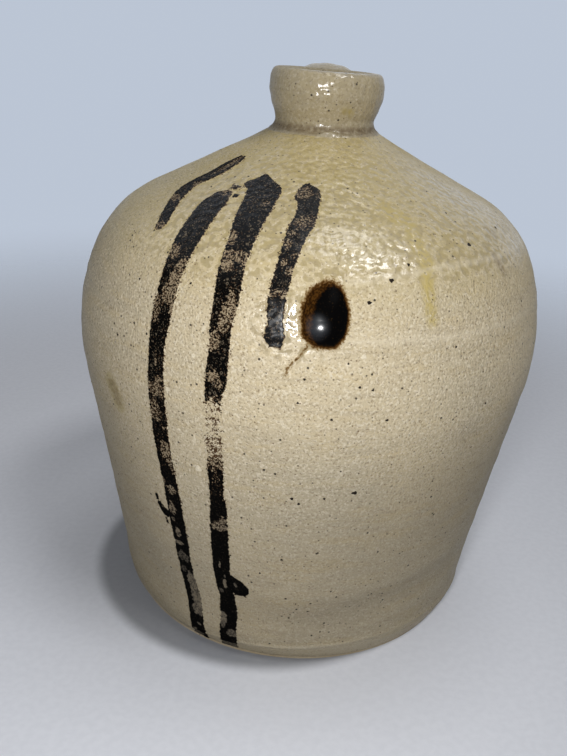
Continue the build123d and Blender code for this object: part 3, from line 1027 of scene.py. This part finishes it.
# Each dab lists its edges, as walk and the bearings of the left and right one, and its thin places, as walk,
# place across from -1 to 1, half length, half width as a share of the stroke, and how much slip is missing.
STROKES = {
    "slip_stroke_short_left": [
        {
            "edges": (
                (21.5, -51.0, -47.2), (24, -52.4, -45.4), (28, -53.5, -44.9), (34, -54.1, -46.1),
                (38, -55.3, -47.7), (44, -56.2, -49.9), (50, -55.2, -48.6), (54, -52.8, -47.2),
                (58, -50.1, -45.2), (63, -47.6, -43.4), (66.5, -45.8, -42.5), (69.5, -44.9, -43.0),
            ),
            "thin": (
                (27.5, 0.1, 8, 0.5, 0.5), (43, 0.7, 2.2, 0.7, 0.5), (53.6, -0.2, 2.4, 1.0, 0.5),
                (70, 0.0, 4, 1.4, 0.42),
            ),
        },
    ],
    "slip_stroke_long_left": [
        {
            "edges": (
                (43, -33.4, -30.8), (45, -36.5, -30.3), (48, -37.4, -29.8), (52, -38.0, -29.2),
                (60, -36.6, -28.8), (70, -35.7, -28.6), (80, -34.8, -29.2), (90, -34.4, -29.4),
                (97, -34.6, -29.4), (110, -34.0, -30.1), (130, -33.9, -29.7), (150, -33.9, -29.7),
                (170, -33.1, -28.8), (190, -32.5, -28.0), (210, -31.6, -27.5), (222, -30.7, -26.0),
                (238, -30.0, -25.4), (249, -30.6, -25.2),
            ),
            "thin": (
                (44, 0.3, 3, 1.0, 0.4), (76, -0.6, 3, 0.5, 0.48), (81, 0.8, 4, 0.65, 0.55),
                (85.5, 0.5, 5, 0.65, 0.55), (90.5, 0.3, 4, 0.9, 0.55), (94.5, 0.95, 3, 0.4, 0.5),
                (94.5, -0.8, 3, 0.4, 0.5), (98, -0.65, 3.2, 0.5, 0.5), (114.5, 0.05, 3, 0.16, 0.5),
                (121.5, 0.4, 1.5, 0.5, 0.45), (125.3, 0.0, 3, 1.3, 0.5), (134.3, -0.4, 4.6, 0.9, 0.52),
                (141, 0.7, 0.9, 0.35, 0.45), (152, 0.45, 5.2, 0.8, 0.52), (158.5, 0.9, 3, 0.35, 0.45),
                (167, -0.95, 2.5, 0.35, 0.5), (169.7, 0.12, 2.3, 0.6, 0.6), (179, -0.35, 3, 0.5, 0.6),
                (184.5, -0.5, 1, 0.35, 0.5), (190.8, -0.2, 2.6, 0.42, 0.6), (196.4, -0.4, 1.2, 0.7, 0.58),
                (203, 0.0, 3, 0.9, 0.42), (210, -0.4, 2, 0.5, 0.4), (216, 0.5, 6, 0.75, 0.55),
                (224, 0.45, 6.5, 0.75, 0.57), (230, 0.4, 4, 0.8, 0.55), (238.7, 0.3, 1, 0.4, 0.5),
                (247, -0.4, 4, 0.9, 0.5),
            ),
        },
        {"edges": ((175.6, -36.9, -36.3), (178.0, -36.6, -36.0)), "thin": ()},
        {
            "edges": (
                (178.8, -36.2, -35.5), (180.2, -36.3, -34.5), (181.8, -35.7, -32.6), (183.4, -35.1, -32.6),
                (184.6, -34.5, -33.4),
            ),
            "thin": ((180.6, 0.5, 0.8, 0.3, 0.5),),
        },
        {"edges": ((185.8, -34.4, -33.8), (188.2, -34.2, -33.6)), "thin": ((187, 0.0, 2, 2.0, 0.3),)},
        {"edges": ((44.4, -29.3, -27.4), (46, -29.1, -27.8)), "thin": ()},
        {"edges": ((39.2, -33.2, -29.6), (41.6, -33.4, -30.2)), "thin": ((40.4, 0.0, 3, 2.0, 0.4),)},
    ],
    "slip_stroke_long_right": [
        {
            "edges": (
                (30.4, -23.8, -22.6), (32, -24.6, -20.4), (34, -26.6, -17.6), (36, -28.6, -14.8),
                (37.6, -29.4, -13.3), (39, -27.4, -12.8), (41, -25.8, -12.8), (46, -24.3, -13.1),
                (52, -23.3, -13.4), (60, -22.0, -14.0), (70, -20.8, -14.5), (80, -20.4, -14.7),
                (90, -19.9, -14.5), (98, -19.7, -15.4), (108, -19.4, -15.2), (118, -19.7, -15.4),
                (122, -19.7, -16.3), (130, -19.7, -16.5), (139, -19.8, -16.4),
            ),
            "thin": (
                (47.5, 0.5, 2, 0.25, 0.4), (66.5, -0.8, 3.5, 0.45, 0.55), (73.3, 0.1, 2.1, 1.3, 0.5),
                (76.8, -0.5, 2.3, 0.65, 0.55), (76, 0.95, 2, 0.25, 0.5), (88, 0.45, 3, 0.35, 0.5),
                (93, 0.45, 5.5, 0.7, 0.56), (97, 0.3, 3, 0.7, 0.55), (102.8, -0.5, 3.7, 0.65, 0.55),
                (115.3, -0.3, 2.4, 0.8, 0.5), (118, 0.4, 1.6, 0.4, 0.45), (132.4, 0.0, 9, 3.0, 0.8),
            ),
        },
    ],
    "slip_stroke_low_right": [
        {
            "edges": (
                (139, -19.8, -16.4), (150, -19.9, -16.2), (163, -19.7, -16.6), (168, -19.7, -16.1),
                (175, -20.1, -15.9), (195, -20.4, -15.9), (208, -20.1, -15.7), (218, -19.2, -15.0),
                (225, -19.3, -14.5), (238, -19.6, -14.7), (249, -20.3, -14.8),
            ),
            "thin": (
                (143, 0.0, 6, 3.0, 0.72), (149.5, 0.0, 4, 3.0, 0.5), (159, 0.2, 5, 0.9, 0.16),
                (177, 0.55, 2.6, 0.5, 0.45), (180, 0.1, 2.5, 1.0, 0.56), (200.2, -0.2, 1.7, 0.16, 0.6),
                (206, 0.5, 1.2, 0.35, 0.5), (209.8, 0.2, 2.6, 0.35, 0.6), (214.4, -0.6, 1.6, 0.35, 0.45),
                (230.5, -0.7, 4.6, 0.5, 0.56), (237.5, 0.5, 2.3, 0.7, 0.5), (248, 0.1, 3.4, 1.4, 0.52),
            ),
        },
        {
            "edges": (
                (204.6, -17.0, -15.6), (206.2, -17.0, -13.6), (208, -17.0, -12.1), (210.6, -16.8, -10.9),
                (213, -15.6, -11.1), (215, -14.6, -11.9),
            ),
            "thin": ((209.5, -0.1, 1.3, 0.2, 0.5),),
        },
    ],
    "slip_stroke_short_right": [
        {
            "edges": (
                (34, -4.2, -2.6), (36, -5.6, 0.6), (38, -6.7, 1.6), (42, -6.8, 1.6), (46, -5.3, 1.2),
                (52, -5.3, 0.9), (57, -6.1, 0.3), (62, -6.6, -1.3), (70, -7.0, -2.9), (78, -7.7, -4.0),
                (86, -8.2, -4.7), (92, -7.9, -4.9), (95, -7.8, -4.7), (99, -8.2, -4.4), (102, -6.9, -4.9),
            ),
            "thin": (
                (39, -0.35, 3.7, 0.85, 0.45), (56, 0.2, 4, 1.0, 0.42), (61.6, -0.4, 1.2, 0.6, 0.5),
                (66.5, -0.5, 2.6, 0.4, 0.4), (71.3, 0.55, 1.1, 0.35, 0.45), (73.6, -0.3, 1.6, 0.4, 0.5),
                (76.4, 0.65, 1.5, 0.55, 0.5), (84.7, 0.1, 1.4, 1.4, 0.5),
            ),
        },
    ],
}


def slip_shell(edges, thin):
    """A dab of slip as a thin raised patch, ragged at its edges, and how thickly it covers the clay."""
    curve = through(edges, EDGE_STEP)
    first, last = curve[0, 0], curve[-1, 0]
    rows = int((last - first + 2 * SLIP_MARGIN) / SLIP_GRID) + 2
    walk = np.linspace(first - SLIP_MARGIN, last + SLIP_MARGIN, rows)[:, None]
    bearings = [upright(np.interp(walk, curve[:, 0], edge), walk) for edge in curve.T[1:]]
    left, right = [np.radians(bearing) * radius_at(walk) for bearing in bearings]
    middle = (left + right) / 2
    half = (right - left) / 2
    columns = int(2 * (half.max() + SLIP_MARGIN) / SLIP_GRID) + 3
    offset = np.linspace(-1, 1, columns) * (half + SLIP_MARGIN)
    across = middle + offset
    inside = np.minimum(half - np.abs(offset), np.minimum(walk - first, last - walk))
    # Long and short ripples make the edges ragged
    inside = 0.25 + inside + 0.26 * ripple(across, walk, 4.2) + 0.09 * ripple(walk, across, 1.7)
    cover = smooth(inside, -0.22, 0.28)
    share = offset / np.maximum(half, 0.5)
    worn = np.zeros_like(cover)
    for place, side, half_length, half_width, missing in thin:
        here = np.hypot((walk - place) / half_length, (share - side) / half_width)
        here = here + 0.2 * ripple(across + place, walk, 5.0)
        worn = np.maximum(worn, missing * smooth(here, 1.15, 0.85))
    cover = np.clip(cover - worn, 0, 1)
    bearing = np.degrees(across / radius_at(walk))
    walk = np.broadcast_to(walk, bearing.shape)
    lift = SLIP_RIM + SLIP_THICKNESS * smooth(cover, 0.2, 0.9)
    marks = clay_marks(bearing, walk) | {"cover": cover}
    return pillow_shell(skin(bearing, walk, lift), skin(bearing, walk, -SLIP_SUNK), marks)


def build_strokes(slip):
    """Every stroke with its splashes."""
    for node, dabs in STROKES.items():
        shells = [slip_shell(dab["edges"], dab["thin"]) for dab in dabs]
        make_piece(node.replace("slip_stroke", "brushed_slip"), shells, slip, node)


# The kiln drip

DRIP_HALO = 1.22                # amber stain around the bead, as a multiple of the bead's outline
DRIP_FULLNESS = 0.9             # below 1 the egg is fuller than an ellipse
DRIP_SUNK = 0.4                 # how deep its rim reaches into the clay
FRINGE_WIDTH = 0.38             # share of the bead that the amber fringe takes up at its widest
FRINGE_HEADING = radians(166)
WET_PLACE = (-4.0, -2.0)        # where the bead is shiniest: to the left of its middle and below it
WET_RADIUS = 6.0
# The thin run at the bead's lower left: walk, bearings of its edges
DRIP_RUN = ((101, 0.3, 0.6), (104, -1.0, -0.7), (107, -2.4, -2.0), (109, -3.3, -2.9), (111.5, -3.5, -3.3))


def build_drip(glass):
    """Egg-shaped bead of glass on the shoulder, amber where it is thin: widest on its left and its top."""
    angle = -np.arange(DRIP_STEPS) * 2 * pi / DRIP_STEPS
    share = np.concatenate([[DRIP_HALO], np.linspace(DRIP_HALO, 1.04, 8), np.linspace(1, 0.03, 36)])[:, None]
    sideways = np.sign(np.cos(angle)) * np.abs(np.cos(angle)) ** DRIP_FULLNESS
    upwards = np.sign(np.sin(angle)) * np.abs(np.sin(angle)) ** DRIP_FULLNESS
    length = np.where(np.sin(angle) > 0, drip_upper_length, drip_lower_length)
    ragged = 1 + 0.012 * np.sin(5 * angle + 1) + 0.01 * np.sin(9 * angle)
    across = share * ragged * drip_half_width * np.where(sideways < 0, 1.16, 0.98) * sideways - 0.5
    up = share * ragged * length * upwards
    walk = drip_walk - up
    bearing = drip_bearing + np.degrees(across / radius_at(walk))
    sag = 1 - share * (0.4 * np.sin(angle) + 0.15 * np.cos(angle))
    dome = drip_proud * sag * np.clip(1 - share ** 2, 0, 1) ** 0.7
    lift = np.broadcast_to(SLIP_RIM + 0.1 * smooth(share, DRIP_HALO, 1) + dome, across.shape).copy()
    lift[0] = -DRIP_SUNK
    # The glass is thin, and so amber, in a broad fringe on the left and at the top
    fringe = FRINGE_WIDTH * np.clip(np.cos(angle - FRINGE_HEADING), 0, 1)
    core = 0.54 * smooth(share, DRIP_HALO, 0.92) + 0.46 * smooth(share, 1.04 - fringe, 0.84 - fringe)
    from_wet = np.hypot(across - WET_PLACE[0], up - WET_PLACE[1])
    wet = swell(from_wet, 0, WET_RADIUS) * smooth(share, 0.98, 0.8)
    marks = clay_marks(bearing, walk) | {"core": core, "wet": wet}
    bead = ring_shell(skin(bearing, walk, lift), marks, False)
    run = slip_shell(DRIP_RUN, ())
    run.marks["core"] = 0.2 * run.marks.pop("cover")
    make_piece("glass_drip", [bead, run], glass, "glaze_drip")


# Stage: floor, light and camera

FLOOR_COLOUR = (0.81, 0.835, 0.905)
FLOOR_PATCHES = (0.775, 0.80, 0.87)
FLOOR_HALF = 1.6
# Painted shadow of the jug on the floor: a darker disc about this centre
SHADE_CENTRE = (-14.0, -3.0, 0.0)
SHADE_RADII = (77.0, 85.0)      # the jug's shade is full within the first and gone at the second
SHADE_LIGHT = 0.4
FADE_RADII = (240.0, 780.0)     # the floor starts to fade at the first and is gone at the second
SKY_COLOUR = (0.50, 0.56, 0.66)
AMBIENT = 0.02


def build_floor():
    """Plain pale floor, with the jug's shadow painted round its foot, that fades into the background far
    from the jug.
    """
    shader = Shader("floor")
    colour = shader.mix(shader.ramp(shader.noise(3, 3), 0.3, 0.7), FLOOR_COLOUR, FLOOR_PATCHES)
    # Painted shadow round the foot
    place = {0: shader.place, 1: SHADE_CENTRE}
    near = shader.node("ShaderNodeVectorMath", place, "Value", operation="DISTANCE")
    shader.set(
        Base_Color=shader.shade(colour, shader.ramp(near, *SHADE_RADII, SHADE_LIGHT, 1.0)),
        Roughness=0.75,
    )
    far = shader.node("ShaderNodeVectorMath", {0: shader.place}, "Value", operation="LENGTH")
    clear = shader.node("ShaderNodeBsdfTransparent", {})
    fade = shader.ramp(far, *FADE_RADII)
    whole = shader.node("ShaderNodeMixShader", {0: fade, 1: shader.surface.outputs[0], 2: clear})
    shader.feed(shader.tree.nodes["Material Output"].inputs["Surface"], whole)
    mesh = bpy.data.meshes.new("floor")
    corners = [(x * FLOOR_HALF, y * FLOOR_HALF, 0) for x, y in ((-1, -1), (1, -1), (1, 1), (-1, 1))]
    mesh.from_pydata(corners, [], [(0, 1, 2, 3)])
    mesh.materials.append(shader.material)
    floor = add_object("floor", mesh)


def build_world():
    """Even soft light from all round, with a pale background where it is seen or mirrored."""
    world = bpy.data.worlds.new("studio")
    world.use_nodes = True
    nodes = Nodes(world.node_tree)
    path = nodes.tree.nodes.new("ShaderNodeLightPath").outputs
    seen = path["Is Camera Ray"]
    for ray in ("Is Glossy Ray", "Is Transmission Ray"):
        seen = nodes.math("MAXIMUM", seen, path[ray])
    light = nodes.tree.nodes["Background"]
    light.inputs["Color"].default_value = (AMBIENT, AMBIENT, AMBIENT * 1.03, 1)
    shown = nodes.node("ShaderNodeBackground", {"Color": (*SKY_COLOUR, 1)})
    both = nodes.node("ShaderNodeMixShader", {0: seen, 1: light.outputs[0], 2: shown})
    nodes.feed(nodes.tree.nodes["World Output"].inputs["Surface"], both)
    bpy.context.scene.world = world


def area_light(name, place, target, power, shape, size, height=0.0):
    """Lamp in metres and watts. A disk has no height of its own."""
    light = bpy.data.lights.new(name, "AREA")
    light.shape = shape
    light.size = size
    if height:
        light.size_y = height
    light.energy = power
    lamp = add_object(name, light)
    lamp.location = place
    lamp.rotation_euler = (Vector(target) - Vector(place)).to_track_quat("-Z", "Y").to_euler()


def build_lights():
    """A small lamp beside the camera, lamps above, and soft fill from the left and behind."""
    area_light("front_light", (-0.027, -0.352, 0.236), (0, 0, 0.14), 0.65, "DISK", 0.055)
    area_light("ceiling_light", (0.52, -0.45, 1.36), (0, 0, 0.15), 5.0, "RECTANGLE", 0.5, 0.28)
    area_light("overhead_light", (0.15, 0.15, 1.5), (0.05, 0.05, 0.15), 2.6, "RECTANGLE", 0.5, 0.5)
    area_light("side_light", (-0.9, 0.45, 0.75), (0, 0, 0.13), 0.6, "RECTANGLE", 0.6, 0.8)
    area_light("back_light", (0.4, 1.5, 0.8), (0, 0, 0.12), 3.6, "RECTANGLE", 2.0, 2.0)


CAMERA_PLACE = (0.0, -0.3409, 0.2389)
CAMERA_YAW = radians(1.544)
CAMERA_PITCH = radians(22.872)
CAMERA_ROLL = radians(3.209)
FOCAL_PIXELS = 800
IMAGE_LONG_SIDE = 756
SENSOR = 36.0


def build_camera():
    """The view in which the jug was measured."""
    camera = bpy.data.cameras.new("camera")
    camera.sensor_width = SENSOR
    camera.lens = FOCAL_PIXELS * SENSOR / IMAGE_LONG_SIDE
    camera.clip_start = 0.01
    eye = add_object("camera", camera)
    tilt = Matrix.Rotation(pi / 2 - CAMERA_PITCH, 4, "X")
    roll = Matrix.Rotation(CAMERA_ROLL, 4, "Z")
    turn = Matrix.Rotation(CAMERA_YAW, 4, "Z")
    eye.matrix_world = Matrix.Translation(CAMERA_PLACE) @ turn @ tilt @ roll
    bpy.context.scene.camera = eye


glaze = salt_glaze()
build_body(glaze)
build_base(bare_clay())
build_collar(glaze)
build_lining(brown_lining())
build_handle(glaze)
build_strokes(dark_slip())
build_drip(kiln_drip())
build_floor()
build_world()
build_lights()
build_camera()
bpy.context.scene.view_settings.view_transform = "Standard"
